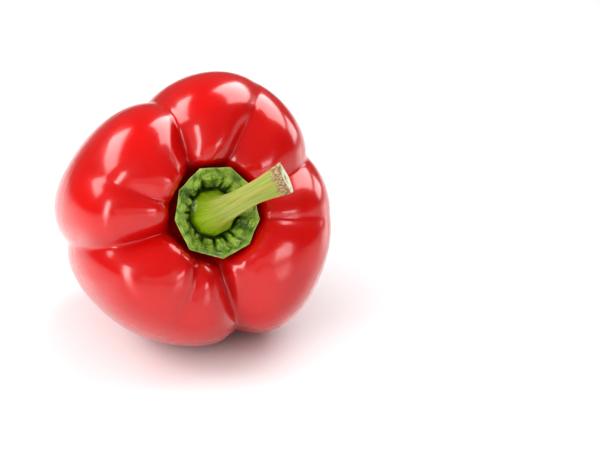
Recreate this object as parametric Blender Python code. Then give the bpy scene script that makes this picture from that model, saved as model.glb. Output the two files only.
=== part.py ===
"""A ripe red bell pepper lying on its side: the fruit, its leafy green calyx and its bent stem.

The pepper is built in its own frame, with the stem end along +Z, and then laid down on two of its lobes.
"""

import math

import bmesh
import bpy
import numpy as np
from mathutils import Matrix, Vector

MM = 0.001
GAP = 0.3 * MM  # between pieces that touch

# Driving sizes of the fruit, in metres.
FRUIT_RADIUS = 42.8 * MM  # a lobe's reach from the axis at the widest ring, before its own bulge
FRUIT_LENGTH = 92.0 * MM  # lobe tips to the crest of the shoulders
PIT_DEPTH = 13.0 * MM  # shoulder crest down to the seat of the calyx
PIT_RADIUS = 12.6 * MM  # the hollow round the calyx, near its seat
PIT_SHIFT = (-2.8 * MM, 1.6 * MM)  # the hollow, with calyx and stem, lies off the fruit's middle
SHOULDER_RADIUS = 19.5 * MM  # where the shoulders start to turn over
BLOSSOM_DEPTH = 9.0 * MM  # hollow at the blossom end

# A furrow between two lobes: its bearing by the calyx and down the side, in degrees, then how far the
# skin is drawn in at the shoulder, on the side and at the tip, as a share of a full furrow.
FURROWS = (
    (113, 104.2, 1.00, 0.63, 0.70),
    (69, 60.5, 0.70, 0.03, 0.15),
    (14, 21.7, 0.70, 0.43, 0.60),
    (266, 278.2, 1.05, 0.92, 0.70),
    (195, 185.8, 0.95, 0.81, 0.60),
)
FURROW_ROUNDING = math.radians(2.5)  # softness of a furrow's bottom

# A short crease that splits a shoulder: its bearing and how far it draws the skin in.
CREASES = ((154, 0.30), (241, 0.26), (352, 0.20))
CREASE_SPREAD = math.radians(8)

# A lobe's own bulge: its bearing, and how much further it reaches than FRUIT_RADIUS.
LOBES = (
    (59, 2.0 * MM),
    (71, 2.8 * MM),
    (289, 5.4 * MM),
    (227, 1.1 * MM),
    (180, 6.0 * MM),
)
LOBE_SPREAD = math.radians(28)

LEAN = math.radians(17.3)  # the stem end looks up by this much
FLAT_DEPTH = 0.4 * MM  # how far the skin is pressed flat where it rests

# The calyx: a dished, ruffled collar round the stem's foot, its rim nearly straight between its corners.
CALYX_RADIUS = 12.3 * MM
CALYX_RISE = 8.8 * MM  # seat to the top of the rim
CALYX_THICKNESS = 1.5 * MM
CORNERS = (  # bearing of each corner of the rim, and how far it reaches past CALYX_RADIUS
    (105, 2.6 * MM),
    (66, 2.4 * MM),
    (28, 1.4 * MM),
    (-15, 1.2 * MM),
    (-50, 1.5 * MM),
    (-90, 1.5 * MM),
    (-138, 1.6 * MM),
    (179, 1.4 * MM),
    (141, 1.9 * MM),
)
FOLDS = 18
FOLD_HEIGHT = 0.55 * MM

# The stem: a round foot on the calyx that tapers into a ridged bend and flares to its cut end.
FOOT_OF_STEM = 7.4 * MM  # radius of the foot
STEM_LINE = (  # its middle, measured from the widest ring of the foot
    (0.0, 0.0, 0.0),
    (0.1 * MM, 0.8 * MM, 6.2 * MM),
    (2.6 * MM, 2.8 * MM, 13.0 * MM),
    (8.0 * MM, 6.1 * MM, 19.4 * MM),
    (16.1 * MM, 9.2 * MM, 24.2 * MM),
)
STEM_NECK = 4.4 * MM
STEM_MIDDLE = 3.5 * MM
STEM_END = 4.6 * MM
RIDGES = 6
RIDGE_HEIGHT = 0.09  # as a share of the stem's radius

COLUMNS = 76
ROWS = 44

MATERIALS = {
    "fruit": ("red skin", (0.58, 0.010, 0.007), 0.22),
    "calyx": ("green calyx", (0.085, 0.150, 0.022), 0.45),
    "stem": ("green stem", (0.200, 0.250, 0.055), 0.50),
}


def seat_height():
    return FRUIT_LENGTH - PIT_DEPTH


def lobe_cage():
    """Control points (radius, height) down the middle of a lobe, from the calyx seat to the blossom end."""
    seat = seat_height()
    return (
        (0.0, seat),
        (0.70 * PIT_RADIUS, seat - 0.3 * MM),
        (1.08 * PIT_RADIUS, seat + 0.16 * PIT_DEPTH),
        (1.14 * PIT_RADIUS, seat + 0.95 * PIT_DEPTH),
        (SHOULDER_RADIUS, FRUIT_LENGTH + 2.2 * MM),
        (0.88 * FRUIT_RADIUS, 0.985 * FRUIT_LENGTH),
        (1.04 * FRUIT_RADIUS, 0.70 * FRUIT_LENGTH),
        (0.92 * FRUIT_RADIUS, 0.42 * FRUIT_LENGTH),
        (0.74 * FRUIT_RADIUS, 0.20 * FRUIT_LENGTH),
        (0.66 * FRUIT_RADIUS, 0.045 * FRUIT_LENGTH),
        (0.46 * FRUIT_RADIUS, -2.5 * MM),
        (0.20 * FRUIT_RADIUS, 0.5 * BLOSSOM_DEPTH),
        (0.0, BLOSSOM_DEPTH),
    )


def furrow_cage():
    """The same control points down the bottom of a full furrow."""
    seat = seat_height()
    return (
        (0.0, seat),
        (0.70 * PIT_RADIUS, seat - 0.3 * MM),
        (1.12 * PIT_RADIUS, seat + 0.10 * PIT_DEPTH),
        (1.38 * PIT_RADIUS, seat + 0.38 * PIT_DEPTH),
        (1.30 * SHOULDER_RADIUS, seat + 0.36 * PIT_DEPTH),
        (0.74 * FRUIT_RADIUS, 0.86 * FRUIT_LENGTH),
        (0.84 * FRUIT_RADIUS, 0.64 * FRUIT_LENGTH),
        (0.75 * FRUIT_RADIUS, 0.40 * FRUIT_LENGTH),
        (0.54 * FRUIT_RADIUS, 0.20 * FRUIT_LENGTH),
        (0.46 * FRUIT_RADIUS, 0.085 * FRUIT_LENGTH),
        (0.30 * FRUIT_RADIUS, 0.05 * FRUIT_LENGTH),
        (0.14 * FRUIT_RADIUS, 0.8 * BLOSSOM_DEPTH),
        (0.0, BLOSSOM_DEPTH),
    )


def b_spline(cage, share):
    """The point at share 0 to 1 of a cubic B-spline that starts and ends on the axis."""
    mirrored = [(-cage[1][0], cage[1][1]), *cage, (-cage[-2][0], cage[-2][1])]
    spans = len(cage) - 1
    place = min(share * spans, spans - 1e-9)
    first = int(place)
    u = place - first
    weights = (
        (1 - u) ** 3 / 6,
        (3 * u**3 - 6 * u**2 + 4) / 6,
        (-3 * u**3 + 3 * u**2 + 3 * u + 1) / 6,
        u**3 / 6,
    )
    return sum(w * np.array(p) for w, p in zip(weights, mirrored[first : first + 4]))


def turned(angle):
    """An angle wrapped to within half a turn of zero."""
    return (angle + math.pi) % (2 * math.pi) - math.pi


def fall_off(bearing, degrees, spread):
    """One at a bearing, dying away to both sides of it."""
    off = turned(bearing - math.radians(degrees))
    return math.exp(-(math.hypot(off, FURROW_ROUNDING) - FURROW_ROUNDING) / spread)


def drawn_in(line, knot):
    """How much of a full furrow there is on a skin line, for one control point of the cage."""
    share = 0.0
    spread = math.radians(np.interp(knot, (2, 4, 6, 9), (11, 15, 13, 16)))
    for inner, outer, shoulder, side, tip in FURROWS:
        depths = (0.0, 0.6 * shoulder, shoulder, (shoulder + side) / 2, side, side, tip, tip)
        share += np.interp(knot, (1, 2, 4, 5, 6, 7, 9, 12), depths) * fall_off(line, outer, spread)
    for degrees, depth in CREASES:
        strength = np.interp(knot, (2, 3, 4, 6), (0.0, depth, depth, 0.0))
        share += strength * fall_off(line, degrees, CREASE_SPREAD)
    return share


def bulge(line, knot):
    reach = 0.0
    for degrees, most in LOBES:
        off = turned(line - math.radians(degrees))
        reach += most * math.exp(-((off / LOBE_SPREAD) ** 2))
    return reach * np.interp(knot, (3, 4, 6, 10, 12), (0.0, 0.7, 1.0, 0.6, 0.0))


def swung(line, share):
    """The bearing of a skin line at a share of the profile: the furrows swing round near the calyx."""
    outer = [furrow[1] for furrow in FURROWS]
    swing = [furrow[0] - furrow[1] for furrow in FURROWS]
    turn = np.interp(math.degrees(line), outer, swing, period=360)
    return line + math.radians(turn * np.interp(share, (0.12, 0.46), (1.0, 0.0)))


def skin_line(line, shares):
    """Points of the skin from the calyx seat to the blossom end, in the pepper's own frame.

    A line is named by its bearing down the side, in radians.
    """
    cage = []
    for knot, (lobe, furrow) in enumerate(zip(lobe_cage(), furrow_cage())):
        share = drawn_in(line, knot)
        radius = lobe[0] + share * (furrow[0] - lobe[0]) + bulge(line, knot)
        cage.append((radius, lobe[1] + share * (furrow[1] - lobe[1])))
    spots = []
    for share in shares:
        radius, height = b_spline(cage, share)
        bearing = swung(line, share)
        moved = float(np.interp(share, (0.26, 0.50), (1.0, 0.0)))
        x = radius * math.cos(bearing) + moved * PIT_SHIFT[0]
        y = radius * math.sin(bearing) + moved * PIT_SHIFT[1]
        spots.append(Vector((x, y, height)))
    return spots


def skin_lines():
    """Lines closer together in the furrows, one of them down the bottom of each furrow."""
    bottoms = sorted(furrow[1] for furrow in FURROWS)
    lines = []
    for first, second in zip(bottoms, bottoms[1:] + [bottoms[0] + 360]):
        count = max(6, round(COLUMNS * (second - first) / 360))
        for step in range(count):
            u = step / count
            u -= 0.55 * math.sin(2 * math.pi * u) / (2 * math.pi)
            lines.append(math.radians(first + u * (second - first)))
    return lines


def closed_mesh(name, start, rings, end):
    """One closed body from a first point, rings of points and a last point, outward faces."""
    bm = bmesh.new()
    first = bm.verts.new(start)
    loops = [[bm.verts.new(p) for p in ring] for ring in rings]
    last = bm.verts.new(end)
    count = len(loops[0])
    for upper, lower in zip(loops, loops[1:]):
        for c in range(count):
            n = (c + 1) % count
            bm.faces.new((upper[c], lower[c], lower[n], upper[n]))
    for c in range(count):
        n = (c + 1) % count
        bm.faces.new((first, loops[0][c], loops[0][n]))
        bm.faces.new((last, loops[-1][n], loops[-1][c]))
    mesh = bpy.data.meshes.new(name)
    bm.to_mesh(mesh)
    bm.free()
    return mesh


def fruit_mesh():
    shares = [row / ROWS for row in range(ROWS + 1)]
    lines = [skin_line(line, shares) for line in skin_lines()]
    rings = [[line[row] for line in lines] for row in range(1, ROWS)]
    return closed_mesh("fruit", lines[0][0], rings, lines[0][-1])


def rim_radius(bearing):
    """Straight edges from corner to corner, seen along the stem."""
    corners = sorted((math.radians(angle) % (2 * math.pi), CALYX_RADIUS + most) for angle, most in CORNERS)
    corners.append((corners[0][0] + 2 * math.pi, corners[0][1]))
    line = corners[0][0] + (bearing - corners[0][0]) % (2 * math.pi)
    for (start, near), (end, far) in zip(corners, corners[1:]):
        if line <= end:
            break
    return near * far * math.sin(end - start) / (near * math.sin(line - start) + far * math.sin(end - line))


def wall_line(bearing):
    """Heights and radii of the wall of the hollow round the stem, at one bearing."""
    inner = sorted((furrow[0], furrow[1] - furrow[0]) for furrow in FURROWS)
    back = np.interp(math.degrees(bearing), [i[0] for i in inner], [i[1] for i in inner], period=360)
    wall = skin_line(bearing + math.radians(back), [step / 88 for step in range(2, 31)])
    return [p.z for p in wall], [(p.xy - Vector(PIT_SHIFT)).length for p in wall]


def calyx_mesh():
    """A dish: a flat button under the stem's foot, a groove round it and a ruffled collar."""
    seat = seat_height() + GAP
    groove = FOOT_OF_STEM + 0.6 * MM
    button = seat + CALYX_THICKNESS
    bearings = [math.pi * c / (2 * FOLDS) for c in range(4 * FOLDS)]

    def disc(radius, height):
        return [Vector((radius * math.cos(b), radius * math.sin(b), height)) for b in bearings]

    walls = [wall_line(b) for b in bearings]

    def collar(share, drop):
        ring = []
        for b, wall in zip(bearings, walls):
            rise = 0.5 * MM + (CALYX_RISE - CALYX_THICKNESS - 0.5 * MM) * share**1.15
            fold = math.sin(FOLDS * b) + 0.6 * math.sin(7 * b + 1.0)
            height = button + rise + FOLD_HEIGHT * fold * share - drop
            radius = groove + share * (rim_radius(b) - groove)
            radius = min(radius, float(np.interp(height, *wall)) - 3 * GAP)
            ring.append(Vector((radius * math.cos(b), radius * math.sin(b), height)))
        return ring

    rings = [disc(0.6 * groove, button), disc(groove - 0.3 * MM, button)]
    rings += [collar(share, 0.0) for share in (0.0, 0.10, 0.35, 0.65, 0.90, 1.0)]
    rings += [collar(share, CALYX_THICKNESS) for share in (0.97, 0.80, 0.50, 0.15)]
    rings += [disc(groove, seat + 0.2 * MM), disc(0.6 * groove, seat)]
    return closed_mesh("calyx", Vector((0, 0, button)), rings, Vector((0, 0, seat)))


def stem_station(share):
    """The stem's middle at share 0 to 1 of its line."""
    line = [Vector(p) for p in STEM_LINE]
    line = [2 * line[0] - line[1], *line, 2 * line[-1] - line[-2]]
    place = min(share * (len(STEM_LINE) - 1), len(STEM_LINE) - 1 - 1e-9)
    first = int(place)
    u = place - first
    a, b, c, d = line[first : first + 4]
    return 0.5 * (2 * b + (c - a) * u + (2 * a - 5 * b + 4 * c - d) * u**2 + (3 * b - a - 3 * c + d) * u**3)


def stem_mesh():
    base = seat_height() + 2 * GAP + CALYX_THICKNESS
    widest = base + 1.2 * MM
    foot = FOOT_OF_STEM
    stations = (  # share of the line, radius, how strongly the ridges show
        (0.000, foot, 0.0),
        (0.045, 0.985 * foot, 0.05),
        (0.090, 0.93 * foot, 0.15),
        (0.140, 0.84 * foot, 0.3),
        (0.190, 0.75 * foot, 0.5),
        (0.250, 1.12 * STEM_NECK, 0.8),
        (0.340, STEM_NECK, 1.0),
        (0.440, 0.5 * (STEM_NECK + STEM_MIDDLE), 1.0),
        (0.540, 1.05 * STEM_MIDDLE, 1.0),
        (0.640, STEM_MIDDLE, 1.0),
        (0.740, 1.01 * STEM_MIDDLE, 1.0),
        (0.830, 0.5 * (STEM_MIDDLE + 0.93 * STEM_END), 0.9),
        (0.900, 0.93 * STEM_END, 0.8),
        (0.955, STEM_END, 0.7),
        (1.000, STEM_END, 0.7),
    )
    columns = 4 * RIDGES
    bearings = [2 * math.pi * c / columns for c in range(columns)]
    below = [Vector((0.9 * foot * math.cos(b), 0.9 * foot * math.sin(b), base)) for b in bearings]
    rings = []
    side = Vector((1, 0, 0))
    for share, radius, ridged in stations:
        middle = stem_station(share)
        ahead = (stem_station(min(share + 0.01, 1.0)) - stem_station(max(share - 0.01, 0.0))).normalized()
        side = (side - ahead * side.dot(ahead)).normalized()
        other = ahead.cross(side)
        ring = []
        for b in bearings:
            reach = radius * (1 + RIDGE_HEIGHT * ridged * math.cos(RIDGES * b))
            ring.append(middle + reach * (math.cos(b) * side + math.sin(b) * other))
        rings.append(ring)
    middle = stem_station(1.0)
    cut = [middle + 0.8 * (p - middle) for p in rings[-1]]
    rings.append(cut)
    rings = [[p + Vector((0, 0, widest)) for p in ring] for ring in rings]
    inner = [Vector((0.5 * foot * math.cos(b), 0.5 * foot * math.sin(b), base)) for b in bearings]
    loops = [inner, below, *rings]
    loops = [list(reversed(loop)) for loop in loops]
    mesh = closed_mesh("stem", Vector((0, 0, base)), loops, middle + Vector((0, 0, widest)))
    return mesh


def material(name, colour, roughness):
    made = bpy.data.materials.new(name)
    made.use_nodes = True
    shader = made.node_tree.nodes["Principled BSDF"]
    shader.inputs["Base Color"].default_value = (*colour, 1.0)
    shader.inputs["Roughness"].default_value = roughness
    shader.inputs["Metallic"].default_value = 0.0
    return made


def press_flat(mesh, placed):
    """Cuts off what would lie below the floor once the pepper is placed, and closes the cut."""
    to_own = placed.inverted()
    bm = bmesh.new()
    bm.from_mesh(mesh)
    cut = bmesh.ops.bisect_plane(
        bm,
        geom=bm.verts[:] + bm.edges[:] + bm.faces[:],
        plane_co=to_own @ Vector((0, 0, 0)),
        plane_no=to_own.to_3x3() @ Vector((0, 0, 1)),
        clear_inner=True,
    )
    edges = [e for e in cut["geom_cut"] if isinstance(e, bmesh.types.BMEdge)]
    for face in bmesh.ops.holes_fill(bm, edges=edges)["faces"]:
        face.smooth = False
    bm.to_mesh(mesh)
    bm.free()


def placement(meshes):
    """Lays the pepper down: turned by its lean, centred over the origin and sunk by the flat's depth."""
    turn = Matrix.Rotation(math.pi / 2 - LEAN, 4, "X")
    spots = [turn @ v.co for mesh in meshes for v in mesh.vertices]
    middle = [(min(p[i] for p in spots) + max(p[i] for p in spots)) / 2 for i in (0, 1)]
    low = min(p.z for p in spots)
    return Matrix.Translation((-middle[0], -middle[1], -low - FLAT_DEPTH)) @ turn


def main():
    for old in list(bpy.data.objects):
        bpy.data.objects.remove(old)
    meshes = {"fruit": fruit_mesh(), "calyx": calyx_mesh(), "stem": stem_mesh()}
    for name in ("calyx", "stem"):
        meshes[name].transform(Matrix.Translation((*PIT_SHIFT, 0)))
    for mesh in meshes.values():
        mesh.shade_smooth()
    placed = placement(meshes.values())
    press_flat(meshes["fruit"], placed)

    pepper = bpy.data.objects.new("pepper", None)
    pepper.location = placed.to_translation()
    pepper.rotation_euler = placed.to_euler()
    bpy.context.scene.collection.objects.link(pepper)
    for name, mesh in meshes.items():
        mesh.materials.append(material(*MATERIALS[name]))
        piece = bpy.data.objects.new(name, mesh)
        piece.parent = pepper
        bpy.context.scene.collection.objects.link(piece)


main()
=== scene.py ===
"""A ripe red bell pepper lying on its side on a pale table.

Its fruit, calyx and stem are finer skins over the three plain solids of the frame, from the same sizes.
"""

import math

import bpy
import numpy as np
from mathutils import Matrix, Vector


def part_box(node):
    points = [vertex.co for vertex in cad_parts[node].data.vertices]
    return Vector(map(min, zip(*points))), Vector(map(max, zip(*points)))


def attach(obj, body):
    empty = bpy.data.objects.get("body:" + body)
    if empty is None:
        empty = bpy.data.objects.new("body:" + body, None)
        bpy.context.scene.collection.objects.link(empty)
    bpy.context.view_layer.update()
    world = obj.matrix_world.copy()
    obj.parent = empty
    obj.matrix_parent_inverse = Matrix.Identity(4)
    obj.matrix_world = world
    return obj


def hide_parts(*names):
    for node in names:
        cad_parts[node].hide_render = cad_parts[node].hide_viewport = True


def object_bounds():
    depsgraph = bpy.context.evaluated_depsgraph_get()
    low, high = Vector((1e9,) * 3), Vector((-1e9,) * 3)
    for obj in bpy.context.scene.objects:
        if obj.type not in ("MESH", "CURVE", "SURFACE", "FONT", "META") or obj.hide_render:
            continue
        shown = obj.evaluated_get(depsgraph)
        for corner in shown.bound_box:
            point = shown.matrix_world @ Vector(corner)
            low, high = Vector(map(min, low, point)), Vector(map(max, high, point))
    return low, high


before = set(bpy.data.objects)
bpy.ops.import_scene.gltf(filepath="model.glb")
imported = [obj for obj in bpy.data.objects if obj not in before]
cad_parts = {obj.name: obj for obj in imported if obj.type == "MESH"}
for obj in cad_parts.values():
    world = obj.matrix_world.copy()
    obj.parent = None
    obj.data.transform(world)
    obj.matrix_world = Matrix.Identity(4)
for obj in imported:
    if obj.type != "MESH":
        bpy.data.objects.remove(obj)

MM = 0.001
GAP = 0.3 * MM  # between neighbouring pieces

# The fruit, with the same sizes as its solid.
FRUIT_RADIUS = 42.8 * MM
FRUIT_LENGTH = 92.0 * MM
PIT_DEPTH = 13.0 * MM
PIT_RADIUS = 12.6 * MM
SHOULDER_RADIUS = 19.5 * MM
BLOSSOM_DEPTH = 9.0 * MM
PIT_SHIFT = (-2.8 * MM, 1.6 * MM)  # the hollow, with calyx and stem, lies off the fruit's middle
LEAN = math.radians(17.3)
SEAT = FRUIT_LENGTH - PIT_DEPTH

# Bearing by the calyx and down the side, then depth at the shoulder, on the side and at the tip.
FURROWS = (
    (113, 104.2, 1.00, 0.63, 0.70),
    (69, 60.5, 0.70, 0.03, 0.15),
    (14, 21.7, 0.70, 0.43, 0.60),
    (266, 278.2, 1.05, 0.92, 0.70),
    (195, 185.8, 0.95, 0.81, 0.60),
)
FURROW_ROUNDING = math.radians(1.6)
CREASES = ((154, 0.30), (241, 0.26), (352, 0.20))
CREASE_SPREAD = math.radians(8)
LOBES = (
    (59, 2.0 * MM),
    (71, 2.8 * MM),
    (289, 5.4 * MM),
    (227, 1.1 * MM),
    (180, 6.0 * MM),
)
LOBE_SPREAD = math.radians(28)
SWELL_HEIGHT = 0.35 * MM
LUMP_HEIGHT = 0.12 * MM
FOLD_HEIGHT = 0.10 * MM
SKIN_COLUMNS = 392
SKIN_ROWS = 196

# The calyx.
CALYX_RADIUS = 12.3 * MM
CALYX_RISE = 8.8 * MM
CALYX_THICKNESS = 1.5 * MM
# Corners of its outline: bearing, and how far each reaches past its radius.
CORNERS = (
    (105, 2.6 * MM),
    (66, 2.4 * MM),
    (28, 1.4 * MM),
    (-15, 1.2 * MM),
    (-50, 1.5 * MM),
    (-90, 1.5 * MM),
    (-138, 1.6 * MM),
    (179, 1.4 * MM),
    (141, 1.9 * MM),
)
GROOVE_WIDTH = 0.45 * MM
GROOVE_DIP = 0.4 * MM
SLITS = 15
# Rows of cushions: how many go round, and how far each row lies from the groove towards the rim.
CUSHION_ROWS = ((17, 0.16), (19, 0.45), (18, 0.72), (21, 0.95))
CUSHION_RADIUS = 1.9 * MM
CUSHION_HEIGHT = 1.3 * MM
CUSHION_SINK = 0.7 * MM
CRUMPLE_HEIGHT = 0.30 * MM
THINNEST = 0.15 * MM
HOLLOW_UNDERNEATH = 1.4 * MM
RIM_WAVE = 0.25 * MM
FRILL = 0.22 * MM
# Shares of the calyx's profile, from the middle of its top round to the middle of its base.
BUTTON_END = 0.14
RIM_START, RIM_END = 0.66, 0.67
BASE_START = 0.95
CALYX_COLUMNS = 432
CALYX_ROWS = 128

# The stem.
FOOT_OF_STEM = 7.4 * MM
STEM_LINE = (
    (0.0, 0.0, 0.0),
    (0.1 * MM, 0.8 * MM, 6.2 * MM),
    (2.6 * MM, 2.8 * MM, 13.0 * MM),
    (8.0 * MM, 6.1 * MM, 19.4 * MM),
    (16.1 * MM, 9.2 * MM, 24.2 * MM),
)
STEM_NECK = 4.4 * MM
STEM_MIDDLE = 3.5 * MM
STEM_END = 4.6 * MM
# Bearing and height of each ridge along the stem.
RIDGES = ((15, 1.0), (72, 0.7), (138, 0.9), (196, 0.75), (255, 1.0), (312, 0.8))
FOOT_SIDES = 9
FOOT_RISE = 1.2 * MM  # from the calyx up to the widest part of the foot
FOOT_UNDERCUT = 1.5 * MM
CUT_CORNER = 138  # bearing of the drawn-out corner of the cut
CUT_CORNER_LENGTH = 0.9 * MM
HEALED_PATCH = (152, 0.09)  # bearing, and share of the way up the stem
STEM_COLUMNS = 224
STEM_ROWS = 200
CUT_ROWS = 44
FOOT_ROWS = 16

# Where things stand.
CAMERA_AZIMUTH = math.radians(-18.75)
CAMERA_ELEVATION = math.radians(21.7)
CAMERA_DISTANCE = 0.4676
SENSOR = 36.0  # mm
LENS = 86.43  # mm
# How far the pepper's middle stands right of and above the middle of the view, for each metre away.
PEPPER_ASIDE = (-0.0803, 0.0169)
LIGHT_DISTANCE = 0.9
LIGHTS_AIM = 45 * MM  # height above the table
TABLE_SIZE = 4


# ---------------------------------------------------------------- small tools


def alone(obj):
    """Selects one object and makes it active."""
    bpy.ops.object.select_all(action="DESELECT")
    obj.select_set(True)
    bpy.context.view_layer.objects.active = obj
    return obj


def wrapped(angle):
    """The same angle, between half a turn back and half a turn on."""
    return (angle + math.pi) % (2 * math.pi) - math.pi


def steady(values, reach):
    """Values along a line, rounded off over a reach to either side."""
    kernel = np.hanning(2 * reach + 3)[1:-1]
    padded = np.concatenate([np.full(reach, values[0]), values, np.full(reach, values[-1])])
    return np.convolve(padded, kernel / kernel.sum(), mode="valid")


def rolled(name, shape, values):
    """A sheet rolled up into one closed skin: its sides meet, and its ends are drawn together.

    The shape gives rows + 1 by columns points from one end to the other, and values gives named attributes.
    """
    rows, columns = shape.shape[0] - 1, shape.shape[1]
    bpy.ops.object.select_all(action="DESELECT")
    bpy.ops.mesh.primitive_grid_add(x_subdivisions=columns, y_subdivisions=rows, size=2, location=(0, 0, 0))
    obj = bpy.context.object
    obj.name = obj.data.name = name
    spots = np.empty(len(obj.data.vertices) * 3)
    obj.data.vertices.foreach_get("co", spots)
    spots = spots.reshape(-1, 3)
    column = np.rint((spots[:, 0] + 1) / 2 * columns).astype(int) % columns
    row = np.rint((1 - spots[:, 1]) / 2 * rows).astype(int)
    obj.data.vertices.foreach_set("co", shape[row, column].ravel())
    for title, value in values.items():
        whole = np.broadcast_to(value, shape.shape[:2] + np.shape(value)[2:])
        attribute(obj, title, whole[row, column])
    bpy.ops.object.mode_set(mode="EDIT")
    bpy.ops.mesh.select_all(action="SELECT")
    bpy.ops.mesh.remove_doubles(threshold=1e-7)
    bpy.ops.mesh.normals_make_consistent(inside=False)
    bpy.ops.object.mode_set(mode="OBJECT")
    obj.data.shade_smooth()
    return obj


def attribute(obj, name, values):
    """A named value, or a named point in space, on each point of the mesh."""
    kind = "FLOAT" if values.ndim == 1 else "FLOAT_VECTOR"
    made = obj.data.attributes.new(name, kind, "POINT")
    made.data.foreach_set("value" if values.ndim == 1 else "vector", values.ravel().astype(np.float32))


def outward(grid):
    """Unit normals of a grid of points, rows down and columns round."""
    down = np.gradient(grid, axis=0)
    across = np.roll(grid, -1, axis=1) - np.roll(grid, 1, axis=1)
    normal = np.cross(down, across)
    length = np.linalg.norm(normal, axis=2, keepdims=True)
    return normal / np.maximum(length, 1e-12)


def blobs(a, b, seed, count, reach):
    """Smooth uneven values from 0 up over two coordinates, a from 0 to 1 once round and b from 0 to 1."""
    rng = np.random.default_rng(seed)
    total = np.zeros(np.broadcast(a, b).shape)
    for _ in range(count):
        across, down = rng.uniform(0, 1), rng.uniform(0, 1)
        high, wide = rng.uniform(-1, 1), reach * rng.uniform(0.7, 1.4)
        off = (a - across + 0.5) % 1.0 - 0.5
        total += high * np.exp(-((off / wide) ** 2) - ((b - down) / wide) ** 2)
    return total


# ---------------------------------------------------------------- the fruit's skin


def cages():
    """Control points of the skin's profile, radius and height, over a lobe and down a furrow."""
    lobe = (
        (0.0, SEAT),
        (0.70 * PIT_RADIUS, SEAT - 0.3 * MM),
        (1.08 * PIT_RADIUS, SEAT + 0.16 * PIT_DEPTH),
        (1.14 * PIT_RADIUS, SEAT + 0.95 * PIT_DEPTH),
        (SHOULDER_RADIUS, FRUIT_LENGTH + 2.2 * MM),
        (0.88 * FRUIT_RADIUS, 0.985 * FRUIT_LENGTH),
        (1.04 * FRUIT_RADIUS, 0.70 * FRUIT_LENGTH),
        (0.92 * FRUIT_RADIUS, 0.42 * FRUIT_LENGTH),
        (0.74 * FRUIT_RADIUS, 0.20 * FRUIT_LENGTH),
        (0.66 * FRUIT_RADIUS, 0.045 * FRUIT_LENGTH),
        (0.46 * FRUIT_RADIUS, -2.5 * MM),
        (0.20 * FRUIT_RADIUS, 0.5 * BLOSSOM_DEPTH),
        (0.0, BLOSSOM_DEPTH),
    )
    furrow = (
        (0.0, SEAT),
        (0.70 * PIT_RADIUS, SEAT - 0.3 * MM),
        (1.12 * PIT_RADIUS, SEAT + 0.10 * PIT_DEPTH),
        (1.38 * PIT_RADIUS, SEAT + 0.38 * PIT_DEPTH),
        (1.30 * SHOULDER_RADIUS, SEAT + 0.36 * PIT_DEPTH),
        (0.74 * FRUIT_RADIUS, 0.86 * FRUIT_LENGTH),
        (0.84 * FRUIT_RADIUS, 0.64 * FRUIT_LENGTH),
        (0.75 * FRUIT_RADIUS, 0.40 * FRUIT_LENGTH),
        (0.54 * FRUIT_RADIUS, 0.20 * FRUIT_LENGTH),
        (0.46 * FRUIT_RADIUS, 0.085 * FRUIT_LENGTH),
        (0.30 * FRUIT_RADIUS, 0.05 * FRUIT_LENGTH),
        (0.14 * FRUIT_RADIUS, 0.8 * BLOSSOM_DEPTH),
        (0.0, BLOSSOM_DEPTH),
    )
    return np.array(lobe), np.array(furrow)


def fall_off(lines, degrees, spread):
    """How much a furrow at one bearing still draws in each skin line, with a rounded bottom."""
    off = wrapped(lines - math.radians(degrees))
    return np.exp(-(np.hypot(off, FURROW_ROUNDING) - FURROW_ROUNDING) / spread)


def drawn_in(lines):
    """How much of a full furrow each skin line has, for each control point of its cage."""
    knots = np.arange(13)
    spread = np.radians(np.interp(knots, (2, 4, 6, 9), (11, 15, 13, 16)))[:, None]
    share = np.zeros((13, len(lines)))
    for inner, outer, shoulder, side, tip in FURROWS:
        depths = (0.0, 0.6 * shoulder, shoulder, (shoulder + side) / 2, side, side, tip, tip)
        strength = np.interp(knots, (1, 2, 4, 5, 6, 7, 9, 12), depths)[:, None]
        share += strength * fall_off(lines[None, :], outer, spread)
    for degrees, depth in CREASES:
        strength = np.interp(knots, (2, 3, 4, 6), (0.0, depth, depth, 0.0))[:, None]
        share += strength * fall_off(lines[None, :], degrees, CREASE_SPREAD)
    return share


def bulge(lines):
    """How far the lobes stand out beyond the profile at each control point, for each skin line."""
    knots = np.arange(13)
    reach = np.zeros(len(lines))
    for degrees, most in LOBES:
        off = wrapped(lines - math.radians(degrees))
        reach += most * np.exp(-((off / LOBE_SPREAD) ** 2))
    return np.interp(knots, (3, 4, 6, 10, 12), (0.0, 0.7, 1.0, 0.6, 0.0))[:, None] * reach


def swung(lines, shares):
    """Bearings of the skin lines, which swing round near the calyx so that the furrows meet it in place."""
    outer = [furrow[1] for furrow in FURROWS]
    swing = [furrow[0] - furrow[1] for furrow in FURROWS]
    turn = np.radians(np.interp(np.degrees(lines) % 360, outer, swing, period=360))
    return lines[None, :] + np.interp(shares, (0.12, 0.46), (1.0, 0.0))[:, None] * turn[None, :]


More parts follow.
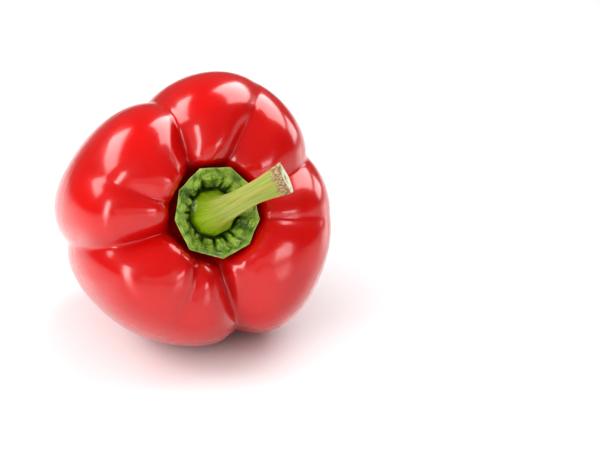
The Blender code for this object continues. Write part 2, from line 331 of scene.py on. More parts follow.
def skin(lines, shares):
    """Points of the skin, with the bearing and the furrow's depth at each.

    There is a row for each share of the way from calyx seat to blossom end, and a column for each line.
    """
    lobe, furrow = cages()
    drawn = drawn_in(lines)
    cage = lobe[:, None, :] + drawn[..., None] * (furrow - lobe)[:, None, :]
    cage[..., 0] += bulge(lines)
    mirror = np.array((-1.0, 1.0))
    cage = np.concatenate([cage[1:2] * mirror, cage, cage[-2:-1] * mirror])
    place = np.minimum(shares * 12, 12 - 1e-9)
    first = place.astype(int)
    u = (place - first)[:, None, None]
    weights = (
        (1 - u) ** 3 / 6,
        (3 * u**3 - 6 * u**2 + 4) / 6,
        (-3 * u**3 + 3 * u**2 + 3 * u + 1) / 6,
        u**3 / 6,
    )
    profile = sum(w * cage[first + k] for k, w in enumerate(weights))
    bearing = swung(lines, shares)
    radius, height = profile[..., 0], profile[..., 1]
    moved = np.interp(shares, (0.26, 0.50), (1.0, 0.0))[:, None]
    x = radius * np.cos(bearing) + PIT_SHIFT[0] * moved
    y = radius * np.sin(bearing) + PIT_SHIFT[1] * moved
    grid = np.stack([x, y, height], -1)
    depth = np.stack([np.interp(shares * 12, np.arange(13), drawn[:, c]) for c in range(len(lines))], -1)
    return grid, bearing, depth


def skin_lines(count):
    """Lines that lie closer together in the furrows, one down the bottom of each."""
    bottoms = sorted(furrow[1] for furrow in FURROWS)
    widths = [b - a for a, b in zip(bottoms, bottoms[1:] + [bottoms[0] + 360])]
    counts = [round(count * w / 360) for w in widths]
    counts[-1] += count - sum(counts)
    lines = []
    for start, width, steps in zip(bottoms, widths, counts):
        u = np.arange(steps) / steps
        u = u - 0.6 * np.sin(2 * np.pi * u) / (2 * np.pi)
        lines.append(np.radians(start + u * width))
    return np.concatenate(lines)


def placement(corners):
    """From the pepper's own frame to where its solid lies, so that the skin fills that solid's box."""
    turn = Matrix.Rotation(math.pi / 2 - LEAN, 4, "X")
    low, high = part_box("fruit")
    spots = corners.reshape(-1, 3) @ np.array(turn.to_3x3()).T
    ours = (spots.min(0) + spots.max(0)) / 2
    middle = (low + high) / 2
    shift = Vector((middle.x - ours[0], middle.y - ours[1], high.z - spots[:, 2].max()))
    return Matrix.Translation(shift) @ turn


def make_fruit():
    """The lobed skin, with slow swells, small lumps and fine folds by the calyx, cut flat where it rests."""
    shares = np.linspace(0, 1, SKIN_ROWS + 1)
    lines = skin_lines(SKIN_COLUMNS)
    grid, bearing, depth = skin(lines, shares)
    placed = placement(grid)
    around = (lines / (2 * np.pi) % 1.0)[None, :]
    down = shares[:, None]
    open_skin = np.interp(down, (0.10, 0.30, 0.95, 1.0), (0, 1, 1, 0))
    swell = SWELL_HEIGHT * blobs(around, down, 11, 90, 0.05) * open_skin
    lumps = LUMP_HEIGHT * blobs(around, down, 12, 260, 0.022) * open_skin
    gathers = np.interp(down, (0.10, 0.20, 0.30, 0.40), (0, 1, 0.5, 0))
    folds = np.sin(31 * bearing + 1.7 * np.sin(3 * bearing)) * (0.6 + 0.4 * np.sin(5 * bearing + 2))
    grid = grid + outward(grid) * (swell + lumps + FOLD_HEIGHT * gathers * folds)[..., None]
    obj = rolled("fruit_skin", grid, {"furrow": depth, "way": down})
    obj.data.transform(placed)
    alone(obj)
    bpy.ops.object.mode_set(mode="EDIT")
    bpy.ops.mesh.select_all(action="SELECT")
    bpy.ops.mesh.bisect(plane_co=(0, 0, 0), plane_no=(0, 0, 1), use_fill=True, clear_inner=True)
    bpy.ops.object.mode_set(mode="OBJECT")
    # The flat spots that the fruit rests on stay flat.
    for face in obj.data.polygons:
        if len(face.vertices) > 4:
            face.use_smooth = False
    return obj, placed


# ---------------------------------------------------------------- the calyx


def wall_radius(bearings, heights):
    """How far the hollow round the stem reaches at each height, at each bearing."""
    inner = sorted((furrow[0], furrow[1] - furrow[0]) for furrow in FURROWS)
    back = np.interp(
        np.degrees(bearings) % 360, [i[0] for i in inner], [i[1] for i in inner], period=360
    )
    wall, _, _ = skin(bearings + np.radians(back), np.linspace(0.03, 0.34, 60))
    reach = np.hypot(wall[..., 0] - PIT_SHIFT[0], wall[..., 1] - PIT_SHIFT[1])
    return np.stack(
        [np.interp(heights[:, c], wall[:, c, 2], reach[:, c]) for c in range(len(bearings))], -1
    )


def rim_radius(bearings):
    """Straight edges from corner to corner, seen along the stem."""
    corners = sorted((math.radians(angle) % (2 * math.pi), CALYX_RADIUS + most) for angle, most in CORNERS)
    corners.append((corners[0][0] + 2 * math.pi, corners[0][1]))
    turned = corners[0][0] + (bearings - corners[0][0]) % (2 * math.pi)
    reach = np.zeros(len(bearings))
    for (start, near), (end, far) in zip(corners, corners[1:]):
        inside = (turned >= start) & (turned <= end)
        across = near * far * math.sin(end - start)
        run = near * np.sin(turned - start) + far * np.sin(end - turned)
        reach[inside] = (across / np.maximum(run, 1e-9))[inside]
    return reach


def puckers(bearings, t, span):
    """Slits that run out from the groove, and uneven round cushions all over the collar."""
    rng = np.random.default_rng(7)
    slits = np.zeros(t.shape)
    for place in range(SLITS):
        bearing = (place + rng.uniform(-0.3, 0.3)) * 2 * math.pi / SLITS
        length = rng.uniform(0.35, 0.85)
        slant = rng.uniform(-0.22, 0.22)
        width = rng.uniform(0.5, 0.9) * MM
        off = wrapped(bearings - bearing - slant * t) * (CALYX_RADIUS - 3 * MM)
        opening = np.clip(1 - t / length, 0, 1) ** 0.6
        slits = np.maximum(slits, opening * np.exp(-((off / (width * (0.35 + 0.65 * opening))) ** 2)))
    lift = np.zeros(t.shape)
    for count, middle in CUSHION_ROWS:
        for place in range(count):
            bearing = (place + rng.uniform(-0.38, 0.38)) * 2 * math.pi / count
            down = (t - middle - rng.uniform(-0.13, 0.13)) * span
            across = wrapped(bearings - bearing) * (CALYX_RADIUS - 2 * MM)
            gap = np.hypot(across, down * rng.uniform(0.7, 1.2))
            cushion = rng.uniform(0.25, 1.0) * np.clip(1 - (gap / CUSHION_RADIUS) ** 2, 0, 1)
            lift = np.maximum(lift, cushion)
    return slits, lift


def make_calyx(placed):
    """A button under the stem's foot, a dark groove round it and a crumpled collar with a thin rim."""
    bearings = 2 * np.pi * np.arange(CALYX_COLUMNS) / CALYX_COLUMNS
    k = np.linspace(0, 1, CALYX_ROWS + 1)[:, None]
    groove = FOOT_OF_STEM + GROOVE_WIDTH
    seat = SEAT + GAP
    button = seat + CALYX_THICKNESS
    rise = CALYX_RISE - CALYX_THICKNESS
    span = rim_radius(bearings)[None, :] - groove
    # k runs over the whole profile. t is 0 at the groove and 1 at the rim, out on top and back underneath.
    out = np.interp(k, (BUTTON_END, RIM_START), (0.0, 1.0))
    back = np.interp(k, (RIM_END, BASE_START), (1.0, 0.0))
    t = out * back + 0 * bearings
    top = k <= (RIM_START + RIM_END) / 2
    slits, lift = puckers(bearings, t, span)
    slit_depth = np.interp(t, (0.0, 0.10, 0.35, 0.70, 1.0), (0.8, 2.4, 2.0, 1.1, 0.25)) * MM
    around = np.broadcast_to(bearings / (2 * np.pi), slits.shape)
    small = blobs(around, np.broadcast_to(t, slits.shape), 21, 1400, 0.013)
    collar = rise * np.interp(t, (0, 0.05, 0.14, 0.45, 0.80, 1), (0.02, 0.42, 0.56, 0.80, 0.95, 1.0))
    fade = np.interp(t, (0.0, 0.08, 0.9, 1.0), (0.0, 1.0, 0.9, 0.40))
    crumpled = CUSHION_HEIGHT * lift - CUSHION_SINK + CRUMPLE_HEIGHT * small
    surface = collar + fade * crumpled - slits * slit_depth
    edge = RIM_WAVE * np.sin(11 * bearings + 2 * np.sin(3 * bearings)) * t**3
    thick = CALYX_THICKNESS * np.interp(t, (0.0, 0.8, 0.95, 1.0), (1.0, 0.75, 0.5, 0.2))
    hollow = HOLLOW_UNDERNEATH * np.interp(t, (0.0, 0.1, 0.6, 1.0), (0.2, 1.0, 0.6, 0.0))
    below = collar - thick - hollow
    frill = FRILL * blobs(bearings / (2 * np.pi), 0.5 + 0 * bearings, 22, 120, 0.02) * t**4
    radius = groove + np.interp(t, (0.0, 0.14, 1.0), (0.0, 0.04, 1.0)) * span + frill
    height = button + edge + np.where(top, np.maximum(surface, below + THINNEST), below)
    centre = np.interp(k, (0, 0.10, BUTTON_END), (0, 0.9, 1.0))
    inner = k < BUTTON_END
    dip = GROOVE_DIP * np.interp(k, (0.06, 0.12), (0, 1))
    radius = np.where(inner, groove * centre, radius)
    height = np.where(inner, button - dip, height)
    base = k > BASE_START
    radius = np.where(base, groove * np.interp(k, (BASE_START, 1.0), (1.0, 0.0)), radius)
    height = np.where(base, seat, np.maximum(height, seat))
    # The collar keeps clear of the hollow's wall.
    limit = wall_radius(bearings, height) - GAP / 2
    radius = np.where((k > 0.16) & (k < BASE_START), np.minimum(radius, limit), radius)
    grid = np.stack([radius * np.cos(bearings), radius * np.sin(bearings), height], -1)
    values = {
        "rim": np.where(top, t**14, 0),
        "pit": np.where(top & ~inner, slits * slit_depth / (2.0 * MM), 0),
        "puffed": np.where(top & ~inner, lift, 0),
    }
    obj = rolled("calyx_collar", grid + np.array((*PIT_SHIFT, 0)), values)
    obj.data.transform(placed)
    return obj


# ---------------------------------------------------------------- the stem


def stem_middle(shares):
    """Points on a smooth curve through the stem's line."""
    line = np.array(STEM_LINE)
    line = np.concatenate([[2 * line[0] - line[1]], line, [2 * line[-1] - line[-2]]])
    place = np.clip(shares, -0.2, 1.0) * (len(STEM_LINE) - 1)
    first = np.clip(place.astype(int), 0, len(STEM_LINE) - 2)
    u = (place - first)[:, None]
    a, b, c, d = (line[first + k] for k in range(4))
    return 0.5 * (2 * b + (c - a) * u + (2 * a - 5 * b + 4 * c - d) * u**2 + (3 * b - a - 3 * c + d) * u**3)


def make_stem(placed):
    """From the middle of the cut end, over its edge, down the bent stem and out over the round foot."""
    turn = 2 * np.pi * np.arange(STEM_COLUMNS) / STEM_COLUMNS
    base = SEAT + 2 * GAP + CALYX_THICKNESS
    widest = base + FOOT_RISE
    foot = FOOT_OF_STEM
    side_rows = STEM_ROWS + 1 - CUT_ROWS - FOOT_ROWS
    stations = (0.0, 0.045, 0.09, 0.14, 0.19, 0.25, 0.34, 0.44, 0.54, 0.64, 0.74, 0.83, 0.90, 0.955, 1.0)
    radii = (
        foot,
        0.985 * foot,
        0.93 * foot,
        0.84 * foot,
        0.75 * foot,
        1.12 * STEM_NECK,
        STEM_NECK,
        0.5 * (STEM_NECK + STEM_MIDDLE),
        1.05 * STEM_MIDDLE,
        STEM_MIDDLE,
        1.01 * STEM_MIDDLE,
        0.5 * (STEM_MIDDLE + 0.93 * STEM_END),
        0.93 * STEM_END,
        STEM_END,
        1.03 * STEM_END,
    )
    side = np.linspace(1.0, 0.0, side_rows)
    radius = steady(np.interp(side, stations, radii), 5)
    ridged = np.interp(side, (0.0, 0.12, 0.25, 0.40, 0.9, 1.0), (0.12, 0.35, 0.8, 1.0, 0.9, 0.8))
    middle = stem_middle(side)
    ahead = -np.gradient(middle, axis=0)
    ahead[-3:] = ahead[-4]
    ahead /= np.linalg.norm(ahead, axis=1, keepdims=True)
    across = np.zeros_like(ahead)
    across[-1] = (1.0, 0.0, 0.0)
    for step in range(side_rows - 2, -1, -1):
        kept = across[step + 1] - ahead[step] * across[step + 1].dot(ahead[step])
        across[step] = kept / np.linalg.norm(kept)
    other = np.cross(ahead, across)
    ridge = np.zeros(STEM_COLUMNS)
    for degrees, height in RIDGES:
        ridge += height * np.exp(-np.abs(wrapped(turn - math.radians(degrees)) / math.radians(15)) ** 1.3)
    ridge -= ridge.mean()
    fibres = np.sin(37 * turn + 2 * np.sin(5 * turn)) * (0.6 + 0.4 * np.sin(9 * turn + 1))
    length = side[:, None]
    # The foot is a little angular, with a few blunt sides.
    from_corner = (turn * FOOT_SIDES / (2 * np.pi) + 0.3) % 1 - 0.5
    angular = math.cos(math.pi / FOOT_SIDES) / np.cos(from_corner * 2 * np.pi / FOOT_SIDES)
    angular = (angular - 1) * np.interp(length, (0.0, 0.16, 0.30), (0.8, 0.6, 0.0))
    shape = 1 + 0.13 * ridged[:, None] * ridge + 0.010 * ridged[:, None] * fibres + angular
    around = np.broadcast_to(turn / (2 * np.pi), (side_rows, STEM_COLUMNS))
    uneven = 0.14 * MM * blobs(around, np.broadcast_to(length, around.shape), 31, 120, 0.07)
    corky = 0.25 * MM * blobs(around, np.broadcast_to(length * 2.2, around.shape), 32, 500, 0.03)
    corky = corky * np.interp(length, (0.86, 0.92, 1.0), (0, 1, 1))
    peak = np.exp(-((wrapped(turn - math.radians(CUT_CORNER)) / 0.45) ** 2))
    reach = radius[:, None] * shape + uneven + corky
    reach = reach * (1 + 0.16 * peak * np.interp(length, (0.90, 1.0), (0, 1)))
    flow = middle[:, None, :] + reach[..., None] * (
        np.cos(turn)[None, :, None] * across[:, None, :] + np.sin(turn)[None, :, None] * other[:, None, :]
    )
    tip = np.interp(length, (0.93, 1.0), (0, 1)) ** 2
    flow = flow + (CUT_CORNER_LENGTH * peak * tip)[..., None] * ahead[:, None, :]
    # The cut: a thin bark edge, a pale ring, a groove and a soft hollow middle.
    share = np.linspace(0.0, 1.0, CUT_ROWS, endpoint=False)[:, None]
    drop = MM * np.interp(
        share,
        (0.0, 0.18, 0.30, 0.38, 0.52, 0.66, 0.74, 0.84, 0.93, 1.0),
        (1.15, 1.05, 0.75, 0.25, 0.05, 0.00, 0.14, 0.20, 0.02, 0.06),
    )
    cut_around = np.broadcast_to(turn / (2 * np.pi), (CUT_ROWS, STEM_COLUMNS))
    rough = blobs(cut_around, np.broadcast_to(share, cut_around.shape), 33, 220, 0.06)
    rough = 0.10 * MM * rough * share**0.5
    heart = flow[0].mean(axis=0)
    cut = heart + share[..., None] * (flow[0] - heart) + (rough - drop)[..., None] * ahead[0]
    # The round foot turns under onto the calyx.
    under = np.linspace(0, 1, FOOT_ROWS + 1)[1:, None]
    foot_radius = foot * np.interp(under, (0.0, 0.3, 0.6, 1.0), (1.0, 0.95, 0.80, 0.0))
    foot_radius = foot_radius * (1 + angular[-1] * (1 - under))
    foot_height = -FOOT_UNDERCUT * np.interp(under, (0.0, 0.3, 0.6, 1.0), (0.0, 0.55, 1.0, 1.0)) + 0 * turn
    below = np.stack([foot_radius * np.cos(turn), foot_radius * np.sin(turn), foot_height], -1)
    grid = np.concatenate([cut, flow, below])
    grid[0] = grid[0].mean(axis=0)
    grid[-1] = grid[-1].mean(axis=0)
    grid = grid + np.array((*PIT_SHIFT, widest))
    along = np.concatenate([np.full(CUT_ROWS, 1.0), side, np.zeros(FOOT_ROWS)])[:, None]
    disc = np.concatenate([share[:, 0], np.ones(side_rows + FOOT_ROWS)])[:, None]
    bearing, height = HEALED_PATCH
    scar = np.exp(-((wrapped(turn - math.radians(bearing)) / 0.36) ** 2) - ((along - height) / 0.055) ** 2)
    values = {
        "way": along,
        "cut": np.where(disc < 1, 1.0, 0.0),
        "disc": disc,
        "ridge": ridge * (along > 0.08),
        "scar": scar * (disc == 1),
        "grain": np.stack(np.broadcast_arrays(np.cos(turn) * disc, np.sin(turn) * disc, 4.0 * along), -1),
    }
    obj = rolled("stem_bent", grid, values)
    obj.data.transform(placed)
    return obj


# ---------------------------------------------------------------- finishes


def new_group(name, inputs, outputs):
    """An empty shader group with named inputs, each with its kind and value, and named outputs."""
    group = bpy.data.node_groups.new(name, "ShaderNodeTree")
    for title, kind, value in inputs:
        made = group.interface.new_socket(name=title, in_out="INPUT", socket_type=kind)
        if value is not None:
            made.default_value = value
    for title, kind in outputs:
        group.interface.new_socket(name=title, in_out="OUTPUT", socket_type=kind)
    return group, group.nodes.new("NodeGroupInput"), group.nodes.new("NodeGroupOutput")


class Nodes:
    """Short names for adding nodes to one tree and joining them."""

    def __init__(self, tree):
        self.tree = tree

    def add(self, kind, **settings):
        made = self.tree.nodes.new("ShaderNode" + kind)
        for key, value in settings.items():
            setattr(made, key, value)
        return made

    def join(self, value, socket):
        if hasattr(value, "is_output"):
            self.tree.links.new(value, socket)
        else:
            socket.default_value = value

    def math(self, operation, a, b=0.0, clamp=False):
        made = self.add("Math", operation=operation, use_clamp=clamp)
        self.join(a, made.inputs[0])
        self.join(b, made.inputs[1])
        return made.outputs[0]

    def noise(self, vector, scale, detail=3.0, rough=0.5, output="Fac"):
        made = self.add("TexNoise")
        self.join(vector, made.inputs["Vector"])
        self.join(scale, made.inputs["Scale"])
        made.inputs["Detail"].default_value = detail
        made.inputs["Roughness"].default_value = rough
        return made.outputs[output]

    def ramp(self, value, *stops):
        made = self.add("ValToRGB")
        band = made.color_ramp
        while len(band.elements) < len(stops):
            band.elements.new(0.5)
        for element, (place, colour) in zip(band.elements, stops):
            element.position = place
            element.color = (*colour, 1.0) if len(colour) == 3 else colour
        self.join(value, made.inputs[0])
        return made.outputs[0]

    def mask(self, value, low, high, out_low=0.0, out_high=1.0):
        made = self.add("MapRange", clamp=True)
        self.join(value, made.inputs["Value"])
        ends = {"From Min": low, "From Max": high, "To Min": out_low, "To Max": out_high}
        for title, number in ends.items():
            made.inputs[title].default_value = number
        return made.outputs["Result"]

    def mix(self, share, a, b, blend="MIX"):
        made = self.add("Mix", data_type="RGBA", blend_type=blend)
        self.join(share, made.inputs["Factor"])
        self.join(a if hasattr(a, "is_output") else (*a, 1.0), made.inputs["A"])
        self.join(b if hasattr(b, "is_output") else (*b, 1.0), made.inputs["B"])
        return made.outputs["Result"]

    def value(self, name, output="Fac"):
        made = self.add("Attribute", attribute_name=name)
        return made.outputs[output]

    def place(self, scale=(1, 1, 1), vector=None):
        source = vector or self.add("TexCoord").outputs["Object"]
        made = self.add("Mapping")
        self.join(source, made.inputs["Vector"])
        made.inputs["Scale"].default_value = scale
        return made.outputs[0]


def mottle_group():
    """Uneven colour: large soft patches and small flecks between a dark and a light tone."""
    group, inside, outside = new_group(
        "mottle",
        (
            ("Vector", "NodeSocketVector", None),
            ("Patch Scale", "NodeSocketFloat", 60.0),
            ("Fleck Scale", "NodeSocketFloat", 600.0),
            ("Fleck Share", "NodeSocketFloat", 0.3),
        ),
        (("Share", "NodeSocketFloat"), ("Flecks", "NodeSocketFloat")),
    )
    n = Nodes(group)
    patch = n.noise(inside.outputs["Vector"], inside.outputs["Patch Scale"], 4.0, 0.55)
    fleck = n.noise(inside.outputs["Vector"], inside.outputs["Fleck Scale"], 2.0, 0.6)
    flecks = n.mask(fleck, 0.58, 0.72)
    weighed = n.math("MULTIPLY", flecks, inside.outputs["Fleck Share"])
    share = n.math("ADD", n.mask(patch, 0.30, 0.70), weighed, clamp=True)
    n.join(share, outside.inputs["Share"])
    n.join(flecks, outside.inputs["Flecks"])
    return group


def relief_group():
    """Height for a Bump node: fine pores over slow swells."""
    group, inside, outside = new_group(
        "relief",
        (
            ("Vector", "NodeSocketVector", None),
            ("Swell Scale", "NodeSocketFloat", 90.0),
            ("Pore Scale", "NodeSocketFloat", 1500.0),
            ("Pore Share", "NodeSocketFloat", 0.15),
        ),
        (("Height", "NodeSocketFloat"), ("Pores", "NodeSocketFloat")),
    )
    n = Nodes(group)
    swell = n.noise(inside.outputs["Vector"], inside.outputs["Swell Scale"], 2.0, 0.5)
    pores = n.noise(inside.outputs["Vector"], inside.outputs["Pore Scale"], 3.0, 0.6)
    small = n.math("MULTIPLY", pores, inside.outputs["Pore Share"])
    n.join(n.math("ADD", swell, small), outside.inputs["Height"])
    n.join(pores, outside.inputs["Pores"])
    return group


def finish(name, slot_values):
    """A material with its Principled shader, and the short names for its nodes."""
    made = bpy.data.materials.new(name)
    made.use_nodes = True
    shader = made.node_tree.nodes["Principled BSDF"]
    for title, value in slot_values.items():
        shader.inputs[title].default_value = value
    return made, shader, Nodes(made.node_tree)


def use(n, group, **values):
    made = n.add("Group")
    made.node_tree = group
    for title, value in values.items():
        n.join(value, made.inputs[title.replace("_", " ")])
    return made


def bump(n, height, distance, strength=1.0):
    made = n.add("Bump")
    n.join(height, made.inputs["Height"])
    made.inputs["Distance"].default_value = distance
    made.inputs["Strength"].default_value = strength
    return made.outputs["Normal"]


def skin_finish(mottle, relief):
    """Clear glossy red, with painted shade darkening it in the furrows."""
    made, shader, n = finish(
        "ripe red skin",
        {"IOR": 1.48, "Coat Weight": 0.42, "Coat Roughness": 0.09},
    )
    spot = n.place()
    patches = use(n, mottle, Vector=spot, Patch_Scale=70.0, Fleck_Scale=700.0, Fleck_Share=0.2)
    colour = n.mix(patches.outputs["Share"], (0.43, 0.002, 0.0015), (0.50, 0.003, 0.002))
    # Painted shade: the red is darkened where the furrows run deep.
    painted_furrow_shade = n.mask(n.value("furrow"), 0.35, 1.05)
    colour = n.mix(n.math("MULTIPLY", painted_furrow_shade, 0.4), colour, (0.40, 0.002, 0.003))
    # A small dry scar in the middle of the blossom end.
    colour = n.mix(n.mask(n.value("way"), 0.982, 0.994), colour, (0.20, 0.11, 0.035))
    n.join(colour, shader.inputs["Base Color"])
    surface = use(n, relief, Vector=spot, Swell_Scale=75.0, Pore_Scale=2600.0, Pore_Share=0.06)
    rough = n.mask(surface.outputs["Pores"], 0.3, 0.7, 0.17, 0.27)
    n.join(rough, shader.inputs["Roughness"])
    n.join(bump(n, surface.outputs["Height"], 0.0004, 0.35), shader.inputs["Normal"])
    return made


def calyx_finish(mottle, relief):
    """Leafy green with a lighter rim; painted shade makes it dark between the cushions and nearly black in
    the slits, and painted light makes the cushions lighter.
    """
    made, shader, n = finish("leafy green calyx", {"IOR": 1.45, "Coat Weight": 0.6, "Coat Roughness": 0.13})
    spot = n.place()
    patches = use(n, mottle, Vector=spot, Patch_Scale=520.0, Fleck_Scale=1700.0, Fleck_Share=0.5)
    colour = n.mix(patches.outputs["Share"], (0.075, 0.17, 0.005), (0.28, 0.42, 0.030))
    # Painted shade: darker green where the collar sinks between the cushions.
    colour = n.mix(n.mask(n.value("puffed"), 0.1, 0.5, 0.75, 0.0), colour, (0.030, 0.085, 0.004))
    # Painted light: lighter green on the highest cushions.
    colour = n.mix(n.mask(n.value("puffed"), 0.45, 0.9, 0.0, 0.65), colour, (0.35, 0.48, 0.06))
    colour = n.mix(n.mask(n.value("rim"), 0.15, 0.9), colour, (0.31, 0.45, 0.09))
    # Painted shade: nearly black down in the slits, darker the deeper they are.
    colour = n.mix(n.mask(n.value("pit"), 0.20, 0.8), colour, (0.010, 0.026, 0.003))
    n.join(colour, shader.inputs["Base Color"])
    surface = use(n, relief, Vector=spot, Swell_Scale=650.0, Pore_Scale=2200.0, Pore_Share=0.3)
    n.join(n.mask(surface.outputs["Pores"], 0.3, 0.7, 0.28, 0.46), shader.inputs["Roughness"])
    n.join(bump(n, surface.outputs["Height"], 0.0012, 1.0), shader.inputs["Normal"])
    return made


def stem_finish(mottle, relief):
    """Yellow green with ochre streaks, a healed patch, a corky band and the pale cut."""
    made, shader, n = finish("yellow green stem", {"IOR": 1.45, "Coat Weight": 0.12, "Coat Roughness": 0.3})
    grain = n.value("grain", "Vector")
    way = n.value("way")
    lengthwise = n.place((5, 5, 0.45), grain)
    streaks = use(n, mottle, Vector=lengthwise, Patch_Scale=1.6, Fleck_Scale=7.0, Fleck_Share=0.4)
    foot = n.mix(streaks.outputs["Share"], (0.20, 0.34, 0.001), (0.29, 0.42, 0.004))
    shaft = n.mix(streaks.outputs["Share"], (0.15, 0.24, 0.012), (0.35, 0.40, 0.10))
    colour = n.mix(n.mask(way, 0.12, 0.45), foot, shaft)
    # Ochre streaks run along the ridges.
    fibre = n.noise(n.place((3.2, 3.2, 0.22), grain), 2.2, 4.0, 0.6)
    ochre = n.math("MULTIPLY", n.mask(fibre, 0.48, 0.62), n.mask(n.value("ridge"), -0.3, 0.5, 0.25, 1.0))
    ochre = n.math("MULTIPLY", ochre, n.mask(way, 0.10, 0.35))
    colour = n.mix(ochre, colour, (0.42, 0.26, 0.035))
    # A pale healed patch on the foot, rough at its edge.
    ragged = n.mask(n.noise(grain, 6.0, 4.0, 0.7), 0.38, 0.55)
    healed = n.math("MULTIPLY", n.value("scar"), ragged, clamp=True)
    colour = n.mix(n.mask(healed, 0.15, 0.7, 0.0, 0.85), colour, (0.66, 0.70, 0.42))
    # A corky brown band behind the cut, broken up unevenly.
    torn = n.noise(grain, 4.0, 4.0, 0.65)
    edge = n.math("ADD", way, n.math("MULTIPLY", n.math("SUBTRACT", torn, 0.5), 0.16))
    cork = n.mask(edge, 0.905, 0.94)
    cork_colour = n.ramp(
        n.noise(grain, 11.0, 4.0, 0.7),
        (0.30, (0.045, 0.020, 0.010)),
        (0.48, (0.24, 0.13, 0.05)),
        (0.62, (0.50, 0.38, 0.20)),
        (0.78, (0.62, 0.56, 0.36)),
    )
    colour = n.mix(cork, colour, cork_colour)
    # The cut face: pale ring, darker line and an olive middle.
    disc = n.value("disc")
    ripple = n.math("ADD", disc, n.math("MULTIPLY", n.math("SUBTRACT", torn, 0.5), 0.16))
    face = n.ramp(
        ripple,
        (0.10, (0.16, 0.17, 0.035)),
        (0.30, (0.27, 0.27, 0.07)),
        (0.40, (0.70, 0.66, 0.42)),
        (0.62, (0.82, 0.80, 0.62)),
        (0.74, (0.42, 0.40, 0.16)),
        (0.84, (0.74, 0.70, 0.48)),
        (0.97, (0.80, 0.77, 0.58)),
    )
    colour = n.mix(n.value("cut"), colour, face)
    n.join(colour, shader.inputs["Base Color"])
    ribbed = n.place((9, 9, 1.2), grain)
    surface = use(n, relief, Vector=ribbed, Swell_Scale=2.0, Pore_Scale=11.0, Pore_Share=0.4)
    n.join(n.mask(surface.outputs["Pores"], 0.3, 0.7, 0.38, 0.56), shader.inputs["Roughness"])
    n.join(bump(n, surface.outputs["Height"], 0.0004, 0.7), shader.inputs["Normal"])
    return made


def table_finish():
    made, shader, n = finish("pale table", {"IOR": 1.45})
    cloud = n.noise(n.place(), 3.0, 3.0, 0.5)
    colour = n.mix(n.mask(cloud, 0.3, 0.7), (0.86, 0.86, 0.865), (0.88, 0.88, 0.885))
    n.join(colour, shader.inputs["Base Color"])
    n.join(n.mask(cloud, 0.3, 0.7, 0.12, 0.17), shader.inputs["Roughness"])
    return made


# ---------------------------------------------------------------- the studio


def softbox(name, azimuth, elevation, width, height, brightness, mirrored=True, lighting=True):
    """An evenly lit rectangle that faces the pepper; azimuth 0 is in front, and sizes are angles.

    One that isn't mirrored gives no highlight, and one that isn't lighting gives nothing else.
    """
    a, e = math.radians(azimuth), math.radians(elevation)
    away = Vector((math.sin(a) * math.cos(e), -math.cos(a) * math.cos(e), math.sin(e)))
    lamp = bpy.data.lights.new(name, "AREA")
    lamp.shape = "RECTANGLE"
    lamp.size = 2 * LIGHT_DISTANCE * math.tan(math.radians(width) / 2)
    lamp.size_y = 2 * LIGHT_DISTANCE * math.tan(math.radians(height) / 2)
    lamp.energy = brightness * math.pi * lamp.size * lamp.size_y
    obj = bpy.data.objects.new(name, lamp)
    bpy.context.scene.collection.objects.link(obj)
    obj.location = Vector((0, 0, LIGHTS_AIM)) + LIGHT_DISTANCE * away
    obj.rotation_euler = away.to_track_quat("Z", "Y").to_euler()
    obj.visible_glossy = mirrored
    obj.visible_diffuse = lighting


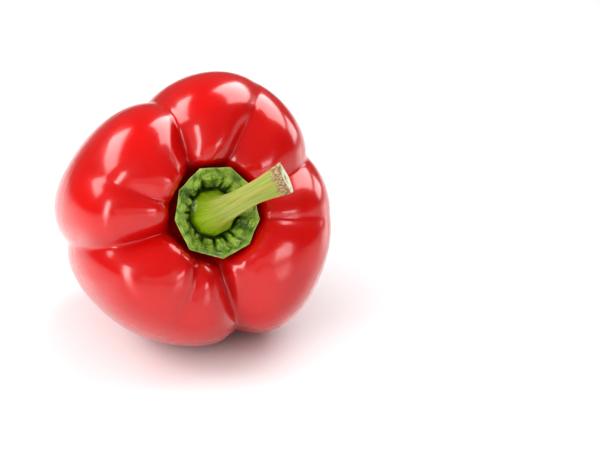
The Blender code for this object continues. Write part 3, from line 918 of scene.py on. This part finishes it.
def set_camera(low, high):
    """A level camera with the middle of the pepper's box a little to the left in its view."""
    target = (low + high) / 2
    a, e = CAMERA_AZIMUTH, CAMERA_ELEVATION
    back = Vector((math.sin(a) * math.cos(e), -math.cos(a) * math.cos(e), math.sin(e)))
    right = Vector((math.cos(a), math.sin(a), 0))
    x, y = PEPPER_ASIDE
    ray = Vector((x, y, -1)).normalized()
    base = Matrix((right, back.cross(right), back)).transposed()
    turn = base @ ray.rotation_difference(Vector((0, 0, -1))).to_matrix()
    forward = turn @ Vector((0, 0, -1))
    side = forward.cross(Vector((0, 0, 1))).normalized()
    turn = Matrix((side, side.cross(forward), -forward)).transposed()
    reach = CAMERA_DISTANCE * math.sqrt(1 + x * x + y * y)
    camera = bpy.data.cameras.new("camera")
    camera.sensor_width = SENSOR
    camera.lens = LENS
    camera.clip_start = 0.01
    obj = bpy.data.objects.new("camera", camera)
    bpy.context.scene.collection.objects.link(obj)
    obj.matrix_world = Matrix.Translation(target - (turn @ ray) * reach) @ turn.to_4x4()
    bpy.context.scene.camera = obj


def set_studio():
    """Softboxes round the pepper, a dim even surrounding and the table."""
    softbox("large right softbox", 112, 50, 60, 46, 5.0, lighting=False)
    softbox("low right strip", 100, 11, 26, 18, 3.6, lighting=False)
    softbox("right light", 112, 50, 60, 46, 4.4, mirrored=False)
    softbox("left light", -80, 30, 90, 40, 1.5, mirrored=False)
    softbox("front strip", 20, 6, 20, 11, 4.5)
    softbox("left strip", -60, 10, 11, 40, 8.0)
    softbox("back left softbox", -130, 36, 54, 17, 4.4)
    softbox("low front fill", -5, 6, 70, 14, 0.7)
    softbox("overhead fill", -30, 70, 110, 110, 0.8, mirrored=False)
    world = bpy.data.worlds.new("studio")
    world.use_nodes = True
    world.node_tree.nodes["Background"].inputs["Color"].default_value = (1, 1, 1, 1)
    world.node_tree.nodes["Background"].inputs["Strength"].default_value = 0.10
    scene = bpy.context.scene
    scene.world = world
    scene.view_settings.view_transform = "Standard"
    scene.view_settings.look = "Medium High Contrast"
    bpy.ops.object.select_all(action="DESELECT")
    bpy.ops.mesh.primitive_plane_add(size=TABLE_SIZE, location=(0, 0, 0))
    table = bpy.context.object
    table.name = "table"
    table.data.materials.append(table_finish())


def main():
    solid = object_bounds()
    mottle, relief = mottle_group(), relief_group()
    fruit, placed = make_fruit()
    pieces = (
        (fruit, "fruit", "skin", skin_finish(mottle, relief)),
        (make_calyx(placed), "calyx", "calyx", calyx_finish(mottle, relief)),
        (make_stem(placed), "stem", "stem", stem_finish(mottle, relief)),
    )
    for piece, node, slot, material in pieces:
        piece.data.materials.append(material)
        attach(piece, "root")
        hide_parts(node)
    set_camera(*(Vector(corner) for corner in solid))
    set_studio()


main()
